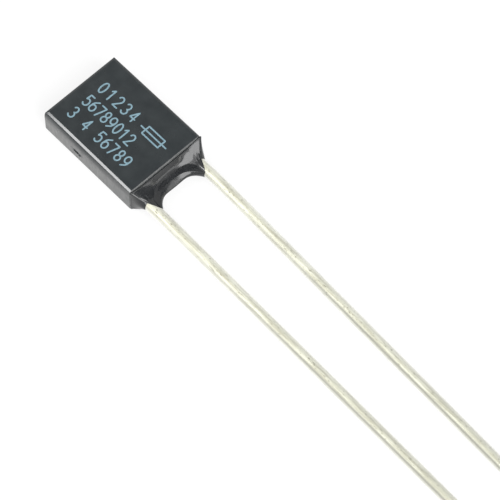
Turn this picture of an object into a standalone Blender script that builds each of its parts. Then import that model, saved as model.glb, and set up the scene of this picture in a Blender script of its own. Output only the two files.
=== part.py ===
"""Radial thermal fuse: a moulded case with two tinned leads, a fusible link in flux, and a resin seal.

Sizes are in metres and +Z is up. The origin is the centre of the case's underside. The closed end of the
case faces -X, its mouth faces +X, and the leads leave through the resin in the mouth.
"""
import math

import bmesh
import bpy
from mathutils import Vector

# Moulded case, open at +X
CASE_LENGTH = 0.01012
CASE_WIDTH = 0.00772
CASE_HEIGHT = 0.00270
CASE_WALL = 0.00030
CASE_END_WALL = 0.0006
CASE_DRAFT_DEG = 0.3
WALL_LEAN = 0.000055
TOP_EDGE_RADIUS = 0.00036
LOW_EDGE_RADIUS = 0.00012
CASE_RIM_RADIUS = 0.00006
CAVITY_RADIUS = 0.00025
CORNER_STEPS = 4

# Mark left by the moulding gate, low on the -Y wall
GATE_MARK_LENGTH = 0.00046
GATE_MARK_HEIGHT = 0.00018
GATE_MARK_DEPTH = 0.00006
GATE_MARK_FROM_END = 0.0038
GATE_MARK_ABOVE_BASE = 0.0011

# Tinned leads: they leave the mouth below mid height, run straight and come to rest on their tips
LEAD_DIAMETER = 0.0010
LEAD_REACH = 0.0380
LEAD_EXIT_HEIGHT = 0.00125
LEAD_SIDE_GAP = 0.000344
LEADS_OFF_CENTRE = -0.00015
LEAD_LEFT_DRIFT = -0.00049
LEAD_RIGHT_DRIFT = -0.00094
LEAD_BEND_STEPS = 6
LEAD_BEND_LENGTH = 0.0030
LEAD_SIDES = 16

# Fusible link: a turned bar with a bead over the inner tip of each lead
LINK_SETBACK = 0.0020
LINK_RADIUS = 0.00040
LINK_BEAD_RADIUS = 0.00066
LINK_BEAD_LENGTH = 0.0013
LINK_TIP_BITE = 0.00025
LINK_STEPS = 20

# Flux round the link, in the closed end of the case
FLUX_LENGTH = 0.0036

# Resin seal
PLUG_DEPTH = 0.0030
LIP_HEIGHT = 0.00028
LIP_ROLL = 0.00010
LIP_INSET = 0.00003
FILM = 0.00006
HORN_OUTER_REACH = 0.00115
HORN_RIDGE_REACH = 0.00100
HORN_INNER_REACH = 0.00230
HORN_SWEEP_POWER = 1.5
WEB_REACH = 0.00138
WEB_THICKNESS = 0.00062
WEB_NOSE = 0.00028
WEB_CURVE_POWER = 4
RIDGE_ANGLE_DEG = 128.0
RIDGE_WIDTH_DEG = 10.0
MENISCUS_RISE = 0.10
MENISCUS_FALL = 0.70
FLANK_HOLLOW = 0.15

# Steps of the resin's loft
WEB_STEPS = 10
CREST_STEPS = 9
HALF_FLANK_STEPS = 3
NOSE_STEPS = 4
LIP_STEPS = 3
SKIN_STEPS = 8

# Gap that keeps touching pieces apart
CLEARANCE = 0.00002

# Worked out from the sizes above
MOUTH_X = CASE_LENGTH / 2
END_X = -CASE_LENGTH / 2
DRAFT_SLOPE = math.tan(math.radians(CASE_DRAFT_DEG))
LEAD_RADIUS = LEAD_DIAMETER / 2
LEAD_Y = CASE_WIDTH / 2 - CASE_WALL - LEAD_SIDE_GAP - LEAD_RADIUS
LEAD_PLACES = {-1: LEADS_OFF_CENTRE - LEAD_Y, 1: LEADS_OFF_CENTRE + LEAD_Y}
LEAD_EXIT_X = MOUTH_X + HORN_INNER_REACH
LEAD_TIP_X = MOUTH_X + LEAD_REACH
LINK_X = END_X + LINK_SETBACK
LEAD_INNER_X = LINK_X + LINK_BEAD_RADIUS - LINK_TIP_BITE
FLUX_BACK_X = END_X + CASE_END_WALL + CLEARANCE
HORN_RADIUS = LEAD_RADIUS + CLEARANCE + FILM
WEB_END_ANGLE = math.asin(WEB_THICKNESS / 2 / HORN_RADIUS)
WEB_END_Y = LEAD_Y - HORN_RADIUS * math.cos(WEB_END_ANGLE)


def clear_scene():
    for obj in list(bpy.data.objects):
        bpy.data.objects.remove(obj, do_unlink=True)


def new_collection(name):
    collection = bpy.data.collections.new(name)
    bpy.context.scene.collection.children.link(collection)
    return collection


def material(name, color, roughness, metallic=0.0, coat=0.0):
    mat = bpy.data.materials.new(name)
    mat.use_nodes = True
    shader = mat.node_tree.nodes["Principled BSDF"]
    shader.inputs["Base Color"].default_value = (*color, 1.0)
    shader.inputs["Roughness"].default_value = roughness
    shader.inputs["Metallic"].default_value = metallic
    shader.inputs["Coat Weight"].default_value = coat
    mat.diffuse_color = (*color, 1.0)
    return mat


def mesh_object(name, bm, collection, mat=None):
    mesh = bpy.data.meshes.new(name)
    bm.to_mesh(mesh)
    bm.free()
    obj = bpy.data.objects.new(name, mesh)
    collection.objects.link(obj)
    if mat:
        mesh.materials.append(mat)
    return obj


def cutter(obj):
    obj.hide_render = True
    obj.display_type = "WIRE"
    return obj


def cut(obj, tool):
    modifier = obj.modifiers.new("cut " + tool.name, "BOOLEAN")
    modifier.operation = "DIFFERENCE"
    modifier.solver = "EXACT"
    modifier.object = tool


def round_edges(obj, width, segments):
    modifier = obj.modifiers.new("rounding", "BEVEL")
    modifier.width = width
    modifier.segments = segments
    modifier.limit_method = "WEIGHT"


def shade_smooth(obj, angle_deg=35.0):
    obj.data.shade_smooth()
    obj.data.set_sharp_from_angle(angle=math.radians(angle_deg))


def half_width_at(x, inset=0.0):
    """Half the case's width at x, at the top: the case narrows a little towards its closed end."""
    return CASE_WIDTH / 2 - (MOUTH_X - x) * DRAFT_SLOPE - inset


def lean_at(z):
    """How far a wall has leant in at a height: nothing at the top, most at the underside."""
    return WALL_LEAN * (1 - z / CASE_HEIGHT)


def drafted_box(back_x, front_x, inset):
    """A box between two places on X that follows the case's drafted and leaning walls at an inset."""
    bm = bmesh.new()
    bmesh.ops.create_cube(bm, size=1.0)
    for vert in bm.verts:
        at_back = vert.co.x < 0
        at_base = vert.co.z < 0
        x = back_x if at_back else front_x
        if at_back and at_base:
            x += WALL_LEAN
        z = inset if at_base else CASE_HEIGHT - inset
        y = half_width_at(x, inset) - lean_at(z)
        vert.co = (x, math.copysign(y, vert.co.y), z)
    return bm


def weigh_edges(bm, weight_of_edge):
    layer = bm.edges.layers.float.new("bevel_weight_edge")
    for edge in bm.edges:
        middle = (edge.verts[0].co + edge.verts[1].co) / 2
        edge[layer] = weight_of_edge(middle)


def case_edge_share(middle):
    """How much of the top edges' radius an outer edge of the case gets."""
    if middle.x > MOUTH_X - CLEARANCE:
        return CASE_RIM_RADIUS / TOP_EDGE_RADIUS
    if middle.z > CASE_HEIGHT - CLEARANCE:
        return 1.0
    return LOW_EDGE_RADIUS / TOP_EDGE_RADIUS


def build_case(parts, cutters, mat):
    """A drafted box, rounded outside, hollowed from its mouth, with the gate's mark on one wall."""
    outer = drafted_box(END_X, MOUTH_X, 0.0)
    weigh_edges(outer, case_edge_share)
    case = mesh_object("case", outer, parts, mat)
    round_edges(case, TOP_EDGE_RADIUS, CORNER_STEPS)

    hollow = drafted_box(END_X + CASE_END_WALL, MOUTH_X + CASE_WALL, CASE_WALL)
    weigh_edges(hollow, lambda middle: 0.0 if middle.x > MOUTH_X else 1.0)
    hollow_tool = cutter(mesh_object("case_hollow", hollow, cutters))
    round_edges(hollow_tool, CAVITY_RADIUS, CORNER_STEPS)
    cut(case, hollow_tool)

    dimple = bmesh.new()
    bmesh.ops.create_uvsphere(dimple, u_segments=16, v_segments=8, radius=1.0)
    mark_x = END_X + GATE_MARK_FROM_END
    size = Vector((GATE_MARK_LENGTH / 2, GATE_MARK_DEPTH, GATE_MARK_HEIGHT / 2))
    bmesh.ops.scale(dimple, vec=size, verts=dimple.verts)
    wall_y = half_width_at(mark_x) - lean_at(GATE_MARK_ABOVE_BASE)
    place = Vector((mark_x, -wall_y, GATE_MARK_ABOVE_BASE))
    bmesh.ops.translate(dimple, vec=place, verts=dimple.verts)
    cut(case, cutter(mesh_object("gate_mark", dimple, cutters)))
    shade_smooth(case)
    return case


def lead_points(side, drift):
    """Centre line of a lead: straight through the resin, a soft bend, then straight to the resting tip."""
    start = Vector((LEAD_INNER_X, LEAD_PLACES[side], LEAD_EXIT_HEIGHT))
    exit_point = Vector((LEAD_EXIT_X, LEAD_PLACES[side], LEAD_EXIT_HEIGHT))
    run = LEAD_TIP_X - LEAD_EXIT_X - LEAD_BEND_LENGTH / 2
    slope = Vector((0.0, drift / run, (LEAD_RADIUS - LEAD_EXIT_HEIGHT) / run))
    points = [start]
    for step in range(LEAD_BEND_STEPS + 1):
        along = LEAD_BEND_LENGTH * step / LEAD_BEND_STEPS
        turned = along * along / (2 * LEAD_BEND_LENGTH)
        points.append(exit_point + Vector((along, 0.0, 0.0)) + slope * turned)
    points.append(exit_point + Vector((LEAD_TIP_X - LEAD_EXIT_X, 0.0, 0.0)) + slope * run)
    return points


def build_lead(name, side, drift, parts, mat):
    points = lead_points(side, drift)
    curve = bpy.data.curves.new(name, "CURVE")
    curve.dimensions = "3D"
    curve.bevel_depth = LEAD_RADIUS
    curve.bevel_resolution = (LEAD_SIDES - 4) // 2
    curve.use_fill_caps = True
    spline = curve.splines.new("POLY")
    spline.points.add(len(points) - 1)
    for spot, point in zip(spline.points, points):
        spot.co = (*point, 1.0)
    curve.materials.append(mat)
    lead = bpy.data.objects.new(name, curve)
    parts.objects.link(lead)
    return lead


def lead_bore(name, side, back_x, front_x, cutters):
    """A cylinder round the straight stretch of a lead, one clearance larger than the wire."""
    sides = 2 * LEAD_SIDES
    radius = (LEAD_RADIUS + CLEARANCE) / math.cos(math.pi / sides)
    bm = bmesh.new()
    bmesh.ops.create_cone(bm, cap_ends=True, segments=sides, radius1=radius, radius2=radius, depth=1.0)
    for vert in bm.verts:
        x = front_x if vert.co.z > 0 else back_x
        vert.co = (x, LEAD_PLACES[side] + vert.co.x, LEAD_EXIT_HEIGHT + vert.co.y)
    return cutter(mesh_object(name, bm, cutters))


def link_radius_at(distance):
    """Radius of the link at a distance along it from its middle: a thin waist and a bead at each lead."""
    from_lead = (distance - LEAD_Y) / (LINK_BEAD_LENGTH / 2)
    if abs(from_lead) >= 1.0:
        return LINK_RADIUS
    swell = math.cos(from_lead * math.pi / 2) ** 2
    return LINK_RADIUS + (LINK_BEAD_RADIUS - LINK_RADIUS) * swell


def turned_link(name, collection, growth, mat=None):
    """The link turned about its own axis, which runs along Y, grown by a clearance where it is a cutter."""
    half_length = LEAD_Y + LINK_BEAD_LENGTH / 4 + growth
    profile = bmesh.new()
    chain = [profile.verts.new((0.0, half_length, 0.0))]
    for step in range(LINK_STEPS + 1):
        along = half_length * (1 - 2 * step / LINK_STEPS)
        chain.append(profile.verts.new((link_radius_at(abs(along)) + growth, along, 0.0)))
    chain.append(profile.verts.new((0.0, -half_length, 0.0)))
    for first, second in zip(chain, chain[1:]):
        profile.edges.new((first, second))
    mesh = bpy.data.meshes.new(name)
    profile.to_mesh(mesh)
    profile.free()
    obj = bpy.data.objects.new(name, mesh)
    obj.location = (LINK_X, LEADS_OFF_CENTRE, LEAD_EXIT_HEIGHT)
    collection.objects.link(obj)
    if mat:
        mesh.materials.append(mat)
    turn = obj.modifiers.new("turn", "SCREW")
    turn.axis = "Y"
    turn.steps = LEAD_SIDES
    turn.render_steps = LEAD_SIDES
    turn.use_merge_vertices = True
    turn.merge_threshold = CLEARANCE / 20
    return obj


def build_link(parts, cutters, mat):
    """The alloy bar, hollowed a little where each lead's tip is sunk into its bead."""
    link = turned_link("fusible_link", parts, 0.0, mat)
    for side, side_name in ((-1, "left"), (1, "right")):
        tip_x = LEAD_INNER_X - CLEARANCE
        cut(link, lead_bore(f"link_seat_{side_name}", side, tip_x, tip_x + LINK_BEAD_RADIUS * 2, cutters))
    return link


def build_flux(parts, cutters, mat):
    """A block that fills the closed end of the case, with the link and the lead tips sunk in it."""
    front_x = FLUX_BACK_X + FLUX_LENGTH
    block = drafted_box(FLUX_BACK_X, front_x, CASE_WALL + CLEARANCE)
    weigh_edges(block, lambda middle: 1.0)
    flux = mesh_object("flux", block, parts, mat)
    round_edges(flux, CAVITY_RADIUS, CORNER_STEPS)
    cut(flux, cutter(turned_link("flux_link_seat", cutters, CLEARANCE)))
    for side, side_name in ((-1, "left"), (1, "right")):
        cut(flux, lead_bore(f"flux_seat_{side_name}", side, LINK_X, front_x + CASE_WALL, cutters))
    shade_smooth(flux)
    return flux


def quarter_section(half_width, half_height, radius):
    """From the top centre of a rounded box section to mid flank: places across and above its middle."""
    corner_y = half_width - radius
    points = [(WEB_END_Y * step / WEB_STEPS, half_height) for step in range(WEB_STEPS)]
    for step in range(CREST_STEPS):
        points.append((WEB_END_Y + (corner_y - WEB_END_Y) * step / CREST_STEPS, half_height))
    for step in range(CORNER_STEPS):
        angle = math.pi / 2 * step / CORNER_STEPS
        points.append((corner_y + radius * math.sin(angle), half_height - radius * (1 - math.cos(angle))))
    for step in range(HALF_FLANK_STEPS + 1):
        points.append((half_width, (half_height - radius) * (1 - step / HALF_FLANK_STEPS)))
    return points


def whole_ring(half, centre_y):
    """Half a section, from its top centre round to its low centre, followed by its mirror image."""
    return half + [Vector((p.x, 2 * centre_y - p.y, p.z)) for p in reversed(half[1:-1])]


def box_ring(x, inset, top_radius, low_radius):
    """A rounded box section at x, in the same steps as the end curve that it is lofted to."""
    half_width = half_width_at(min(x, MOUTH_X), inset)
    half_height = CASE_HEIGHT / 2 - inset
    upper = quarter_section(half_width, half_height, top_radius)
    lower = quarter_section(half_width, half_height, low_radius)
    places = upper + [(y, -rise) for y, rise in reversed(lower[:-1])]
    half = []
    for y, rise in places:
        z = CASE_HEIGHT / 2 + rise
        half.append(Vector((x, y - lean_at(z) * y / half_width, z)))
    return whole_ring(half, 0.0)


def horn_end_x(angle):
    """How far the resin reaches along a lead: furthest where it faces the web, least at the ridge."""
    ridge = math.radians(RIDGE_ANGLE_DEG)
    if angle <= ridge:
        share = ((1 - math.cos(angle)) / (1 - math.cos(ridge))) ** HORN_SWEEP_POWER
        return MOUTH_X + HORN_INNER_REACH + (HORN_RIDGE_REACH - HORN_INNER_REACH) * share
    share = (angle - ridge) / (math.pi - ridge)
    return MOUTH_X + HORN_RIDGE_REACH + (HORN_OUTER_REACH - HORN_RIDGE_REACH) * share


def web_edge_x(y):
    """Front edge of the web between the leads, without its rounded nose."""
    middle = MOUTH_X + WEB_REACH - WEB_NOSE
    return middle + (horn_end_x(WEB_END_ANGLE) - middle) * (y / WEB_END_Y) ** WEB_CURVE_POWER


def end_ring():
    """The curve that the resin's skin shrinks to: the web's edge and once round each lead."""
    places = []
    for step in range(WEB_STEPS):
        y = WEB_END_Y * step / WEB_STEPS
        places.append((web_edge_x(y), y, WEB_THICKNESS / 2))
    ridge = math.radians(RIDGE_ANGLE_DEG)
    flank = math.radians(RIDGE_ANGLE_DEG + RIDGE_WIDTH_DEG)
    angles = [WEB_END_ANGLE + (ridge - WEB_END_ANGLE) * step / CREST_STEPS for step in range(CREST_STEPS)]
    angles += [ridge + (flank - ridge) * step / CORNER_STEPS for step in range(CORNER_STEPS)]
    angles += [flank + (math.pi - flank) * step / HALF_FLANK_STEPS for step in range(HALF_FLANK_STEPS + 1)]
    for angle in angles:
        y = LEAD_Y - HORN_RADIUS * math.cos(angle)
        places.append((horn_end_x(angle), y, HORN_RADIUS * math.sin(angle)))
    places += [(x, y, -rise) for x, y, rise in reversed(places[:-1])]
    half = [Vector((x, LEADS_OFF_CENTRE + y, LEAD_EXIT_HEIGHT + rise)) for x, y, rise in places]
    return whole_ring(half, LEADS_OFF_CENTRE)


def hollow_shares():
    """How hollow the skin is at each place round a ring: fully between the leads, hardly on the flanks."""
    upper = [1.0] * (WEB_STEPS + CREST_STEPS)
    upper += [1.0 + (FLANK_HOLLOW - 1.0) * step / CORNER_STEPS for step in range(CORNER_STEPS)]
    upper += [FLANK_HOLLOW] * (HALF_FLANK_STEPS + 1)
    half = upper + upper[-2::-1]
    return half + half[-2:0:-1]


def meniscus(start, end, share, hollow):
    """From the lip to the end curve: a hollow skin falls inwards first, then runs out along the lead."""
    rise = 0.5 + (MENISCUS_RISE - 0.5) * hollow
    fall = 0.5 + (MENISCUS_FALL - 0.5) * hollow
    pull = Vector((
        start.x + (end.x - start.x) * rise,
        start.y + (end.y - start.y) * fall,
        start.z + (end.z - start.z) * fall,
    ))
    rest = 1 - share
    return start * rest * rest + pull * 2 * rest * share + end * share * share


def nose_point(top, low, step, web_share, side):
    """A point on the web's rounded nose, which turns to face the gap as it nears the lead."""
    angle = math.pi * step / NOSE_STEPS
    swell = math.sin(angle)
    bulge = WEB_NOSE + (HORN_RADIUS * (1 - math.cos(WEB_END_ANGLE)) - WEB_NOSE) * web_share
    turn = math.pi / 2 * web_share ** 2
    middle = (top + low) / 2
    z = middle.z + (top.z - middle.z) * math.cos(angle)
    y = middle.y - side * bulge * swell * math.sin(turn)
    return Vector((middle.x + bulge * swell * math.cos(turn), y, z))


def bridge(bm, first, second):
    for i in range(len(first) - 1):
        bm.faces.new((first[i], second[i], second[i + 1], first[i + 1]))


def front_rung(bm, ring, index, side):
    """A line of vertices down the front of the resin, from the skin's upper edge to its lower edge."""
    last = len(ring) // 2
    top, low = ring[side * index], ring[last - side * index]
    inner = []
    for step in range(1, NOSE_STEPS):
        if index <= WEB_STEPS:
            place = nose_point(top.co, low.co, step, index / WEB_STEPS, side)
        else:
            place = top.co.lerp(low.co, step / NOSE_STEPS)
        inner.append(bm.verts.new(place))
    return [top, *inner, low]


def close_front(bm, ring):
    """Front of the resin: the web's rounded nose, and a flat end on the horn round each lead."""
    half = len(ring) // 4
    rungs = [front_rung(bm, ring, index, -1) for index in range(half - 1, 0, -1)]
    rungs += [front_rung(bm, ring, index, 1) for index in range(half)]
    for left, right in zip(rungs, rungs[1:]):
        bridge(bm, right, left)
    left_tip, right_tip = ring[-half], ring[half]
    for above, below in zip(rungs[0], rungs[0][1:]):
        bm.faces.new((below, above, left_tip))
    for above, below in zip(rungs[-1], rungs[-1][1:]):
        bm.faces.new((above, below, right_tip))


def build_resin(parts, cutters, mat):
    """The seal is lofted from the plug over the rim to the web and the leads, then bored for the wires."""
    gap_x = MOUTH_X + CLEARANCE
    plug_inset = CASE_WALL + CLEARANCE
    plug_radius = CAVITY_RADIUS - CLEARANCE
    sections = [box_ring(MOUTH_X - PLUG_DEPTH, plug_inset, plug_radius, plug_radius)]
    sections.append(box_ring(gap_x, plug_inset, plug_radius, plug_radius))
    for step in range(LIP_STEPS + 1):
        angle = math.pi / 2 * step / LIP_STEPS
        inset = LIP_INSET + LIP_ROLL * (1 - math.cos(angle))
        lip_x = gap_x + LIP_HEIGHT * math.sin(angle)
        sections.append(box_ring(lip_x, inset, TOP_EDGE_RADIUS, LOW_EDGE_RADIUS))
    lip, end, hollows = sections[-1], end_ring(), hollow_shares()
    for step in range(1, SKIN_STEPS + 1):
        share = step / SKIN_STEPS
        sections.append([meniscus(a, b, share, hollow) for a, b, hollow in zip(lip, end, hollows)])

    bm = bmesh.new()
    rings = [[bm.verts.new(point) for point in section] for section in sections]
    for first, second in zip(rings, rings[1:]):
        bridge(bm, first + first[:1], second + second[:1])
    bm.faces.new(rings[0])
    close_front(bm, rings[-1])
    resin = mesh_object("sealing_resin", bm, parts, mat)

    back_x = MOUTH_X - PLUG_DEPTH - CASE_WALL
    front_x = LEAD_EXIT_X + CASE_WALL
    for side, side_name in ((-1, "left"), (1, "right")):
        cut(resin, lead_bore(f"resin_bore_{side_name}", side, back_x, front_x, cutters))
    shade_smooth(resin)
    return resin


def main():
    clear_scene()
    parts = new_collection("thermal_fuse")
    cutters = new_collection("cutters")
    case_black = material("case_black_moulding", (0.045, 0.048, 0.053), 0.42)
    resin_black = material("resin_black_gloss", (0.022, 0.024, 0.026), 0.12, coat=0.5)
    tin = material("tinned_wire", (0.78, 0.77, 0.70), 0.25, metallic=1.0)
    alloy = material("fusible_alloy", (0.62, 0.62, 0.64), 0.35, metallic=1.0)
    rosin = material("rosin_flux", (0.62, 0.36, 0.10), 0.20)

    build_case(parts, cutters, case_black)
    build_lead("lead_left", -1, LEAD_LEFT_DRIFT, parts, tin)
    build_lead("lead_right", 1, LEAD_RIGHT_DRIFT, parts, tin)
    build_link(parts, cutters, alloy)
    build_flux(parts, cutters, rosin)
    build_resin(parts, cutters, resin_black)


main()
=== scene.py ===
# %% [markdown]
# # A radial thermal fuse
#
# A thermal fuse opens its circuit once, for good, when it gets too warm. This one is a flat black case, about
# 10 mm long, with two tinned wires that leave one end side by side. The engineering model of the part is
# already made, so this lesson gives it its looks: smooth surfaces, finishes, print, light and a camera.
#
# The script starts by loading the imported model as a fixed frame. Every piece below is made in metres in that
# same frame, at its final place. Each but the print stands for one of the frame's nodes.

# %% The frame
import math

import bmesh
import bpy
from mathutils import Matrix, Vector, noise


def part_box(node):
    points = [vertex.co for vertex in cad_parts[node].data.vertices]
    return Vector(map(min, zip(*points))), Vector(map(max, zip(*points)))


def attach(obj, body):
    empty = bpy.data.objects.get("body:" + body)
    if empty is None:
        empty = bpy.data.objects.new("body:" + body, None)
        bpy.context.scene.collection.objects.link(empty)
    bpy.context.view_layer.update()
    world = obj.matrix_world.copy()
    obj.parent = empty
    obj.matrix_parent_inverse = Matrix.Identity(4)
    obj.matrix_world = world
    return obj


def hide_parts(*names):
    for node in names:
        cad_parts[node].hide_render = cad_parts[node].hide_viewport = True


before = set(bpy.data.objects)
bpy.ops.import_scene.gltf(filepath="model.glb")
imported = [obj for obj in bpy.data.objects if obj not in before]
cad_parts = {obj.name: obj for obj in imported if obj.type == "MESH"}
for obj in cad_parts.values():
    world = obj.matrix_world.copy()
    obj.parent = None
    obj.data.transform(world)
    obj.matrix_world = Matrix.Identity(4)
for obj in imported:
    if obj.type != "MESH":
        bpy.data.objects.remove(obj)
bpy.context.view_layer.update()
print("frame:", ", ".join(sorted(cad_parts)))

# %% [markdown]
# ## Sizes
#
# The case, the wires and the seal are drawn again with far more facets than the engineering model has,
# because gloss shows each facet. The sizes are those of the solids, so that the smooth pieces lie where the
# solids are. The case's height is read from the frame.

# %% Sizes of the real part, in metres
CASE_LENGTH = 0.01012
CASE_WIDTH = 0.00772
CASE_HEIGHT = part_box("case")[1].z
CASE_WALL = 0.00030
CASE_END_WALL = 0.0006
CASE_DRAFT_DEG = 0.3
WALL_LEAN = 0.000055
SIDE_EDGE_RADIUS = 0.00012
LOW_EDGE_RADIUS = 0.00012
RIM_RADIUS = 0.00010
CAVITY_RADIUS = 0.00025

WIRE_RADIUS = 0.0005
WIRE_EXIT_HEIGHT = 0.00125
WIRE_HALF_PITCH = 0.002716
WIRES_OFF_CENTRE = -0.00015
WIRE_REACH = 0.0380
WIRE_BEND_LENGTH = 0.0030
WIRE_SIDE_AND_DRIFT = {"left": (-1, -0.00049), "right": (1, -0.00094)}
LINK_SETBACK = 0.0020
LINK_BEAD_RADIUS = 0.00066
LINK_TIP_BITE = 0.00025

CLEARANCE = 0.00002
MOUTH_X = CASE_LENGTH / 2
END_X = -CASE_LENGTH / 2
DRAFT_SLOPE = math.tan(math.radians(CASE_DRAFT_DEG))
print(f"case {CASE_LENGTH * 1000:.2f} x {CASE_WIDTH * 1000:.2f} x {CASE_HEIGHT * 1000:.2f} mm")

# %% [markdown]
# ## Camera
#
# The photograph looks down on the part from in front of its left side. A long lens from 0.4 m keeps the edges
# nearly parallel, as they are in the photograph. The camera is placed by its azimuth, its height angle and
# the point that it looks at, which is a little beyond the mouth of the case. Its helpers serve the lamps too.

# %% The camera
CAMERA_AZIMUTH_DEG = -43.226
CAMERA_HEIGHT_DEG = 62.102
CAMERA_DISTANCE = 0.3984
CAMERA_AIM = Vector((0.012595, 0.002089, -0.004094))
CAMERA_LENS_MM = 360.0
CAMERA_SENSOR_MM = 36.0


def new_object(name, data):
    obj = bpy.data.objects.new(name, data)
    bpy.context.scene.collection.objects.link(obj)
    return obj


def direction_to(azimuth_deg, height_deg):
    """A unit vector: azimuth from +X towards +Y, height above the table."""
    a, e = math.radians(azimuth_deg), math.radians(height_deg)
    return Vector((math.cos(a) * math.cos(e), math.sin(a) * math.cos(e), math.sin(e)))


def facing(obj, direction, distance, aim=Vector()):
    """Places an object out along a direction and turns its face back to what it aims at."""
    obj.location = aim + direction * distance
    obj.rotation_mode = "QUATERNION"
    obj.rotation_quaternion = (-direction).to_track_quat("-Z", "Y")


camera_data = bpy.data.cameras.new("camera")
camera_data.lens = CAMERA_LENS_MM
camera_data.sensor_width = CAMERA_SENSOR_MM
camera_data.clip_start = 0.01
camera_data.clip_end = 20.0
camera = new_object("camera", camera_data)
facing(camera, direction_to(CAMERA_AZIMUTH_DEG, CAMERA_HEIGHT_DEG), CAMERA_DISTANCE, CAMERA_AIM)
bpy.context.scene.camera = camera
print("camera at", [round(value, 4) for value in camera.location])

# %% [markdown]
# ## Helpers for shapes
#
# A bmesh becomes an object at the origin, with its place in its mesh. A piece that is finished by modifiers is
# frozen: its evaluated shape is copied into a plain mesh and the modifiers are removed.


# %% Helpers for shapes
def object_from(name, bm, finish=None):
    mesh = bpy.data.meshes.new(name)
    bm.to_mesh(mesh)
    bm.free()
    if finish:
        mesh.materials.append(finish)
    return new_object(name, mesh)


def freeze(obj):
    """Copies the evaluated shape into a plain mesh object of the same name."""
    evaluated = obj.evaluated_get(bpy.context.evaluated_depsgraph_get())
    mesh = bpy.data.meshes.new_from_object(evaluated)
    name = obj.name
    bpy.data.objects.remove(obj, do_unlink=True)
    mesh.name = name
    return new_object(name, mesh)


def evenly(low, high, steps):
    """Numbers that go evenly from low towards high, without reaching it."""
    return [low + (high - low) * step / steps for step in range(steps)]


def store(mesh, name, values):
    """Stores one number for each point of a mesh, for a finish to read."""
    mesh.attributes.new(name, "FLOAT", "POINT").data.foreach_set("value", values)


def report(obj):
    triangles = sum(len(polygon.vertices) - 2 for polygon in obj.data.polygons)
    size = [round(value * 1000, 2) for value in obj.dimensions]
    print(f"{obj.name}: {triangles} triangles, {size} mm")


# %% [markdown]
# ## Helpers for nodes and finishes
#
# The finishes and the geometry trees are both made of nodes, so one function adds a node, fills in its inputs
# and hands back the output that goes on. Each finish is one Principled shader with a few noise textures in
# front of it. All the patterns read Object coordinates. The whole part is only millimetres in size, so a
# pattern's scale is given as the size of its grain in metres, and the texture gets the inverse.


# %% Helpers for nodes and finishes
def add_node(tree, kind, output, inputs, **settings):
    """Adds a node and returns the named output; an input gets a value, a link or a list of links."""
    node = tree.nodes.new(kind)
    for name, value in settings.items():
        setattr(node, name, value)
    for name, value in inputs.items():
        for source in value if isinstance(value, list) else [value]:
            if isinstance(source, bpy.types.NodeSocket):
                tree.links.new(source, node.inputs[name])
            else:
                node.inputs[name].default_value = source
    return node.outputs[output]


class Finish:
    """A Principled material and the nodes that its patterns need."""

    def __init__(self, name, color, roughness, metallic=0.0, ior=1.5):
        self.material = bpy.data.materials.new(name)
        self.material.use_nodes = True
        self.material.diffuse_color = (*color, 1.0)
        self.tree = self.material.node_tree
        self.shader = self.tree.nodes["Principled BSDF"]
        plain = {"Base Color": (*color, 1.0), "Roughness": roughness, "Metallic": metallic, "IOR": ior}
        for socket, value in plain.items():
            self.shader.inputs[socket].default_value = value
        print("finish:", name)

    def drive(self, socket, output):
        self.tree.links.new(output, self.shader.inputs[socket])

    def grain(self, size, detail=2.0, stretch=(1.0, 1.0, 1.0)):
        """Soft noise whose grains are about as wide as size, and drawn out where stretch is small."""
        place = add_node(self.tree, "ShaderNodeTexCoord", "Object", {})
        place = add_node(self.tree, "ShaderNodeMapping", "Vector", {"Vector": place, "Scale": stretch})
        inputs = {"Vector": place, "Scale": 1.0 / size, "Detail": detail}
        return add_node(self.tree, "ShaderNodeTexNoise", "Fac", inputs)

    def between(self, value, low, high, value_low=0.3, value_high=0.7):
        """Turns a pattern into a number between low and high."""
        inputs = {"From Min": value_low, "From Max": value_high, "To Min": low, "To Max": high}
        return add_node(self.tree, "ShaderNodeMapRange", "Result", {"Value": value, **inputs})

    def blend(self, value, first, second):
        """Turns a pattern into a colour between two colours; the first may be a pattern itself."""
        first = (*first, 1.0) if isinstance(first, tuple) else first
        inputs = {"Factor": value, "A": first, "B": (*second, 1.0)}
        return add_node(self.tree, "ShaderNodeMix", "Result", inputs, data_type="RGBA")

    def towards(self, share, value, target):
        """Moves a number towards a fixed one by a share."""
        inputs = {"Factor": share, "A": value, "B": target}
        return add_node(self.tree, "ShaderNodeMix", "Result", inputs, data_type="FLOAT")

    def times(self, first, second):
        """The product of two patterns."""
        return add_node(self.tree, "ShaderNodeMath", "Value", {0: first, 1: second}, operation="MULTIPLY")

    def bump(self, value, depth, after=None):
        """Presses a pattern into the surface, as deep as depth in metres."""
        inputs = {"Height": value, "Distance": depth}
        if after:
            inputs["Normal"] = after
        return add_node(self.tree, "ShaderNodeBump", "Normal", inputs)

    def stored(self, name):
        """A number that is stored on the mesh's points."""
        return add_node(self.tree, "ShaderNodeAttribute", "Fac", {}, attribute_name=name)

    def grazing(self):
        """0 where the surface faces the eye and 1 where it turns away."""
        return add_node(self.tree, "ShaderNodeLayerWeight", "Facing", {})

    def along(self):
        """How far along X a point lies, in metres."""
        place = add_node(self.tree, "ShaderNodeTexCoord", "Object", {})
        return add_node(self.tree, "ShaderNodeSeparateXYZ", "X", {"Vector": place})
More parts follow.
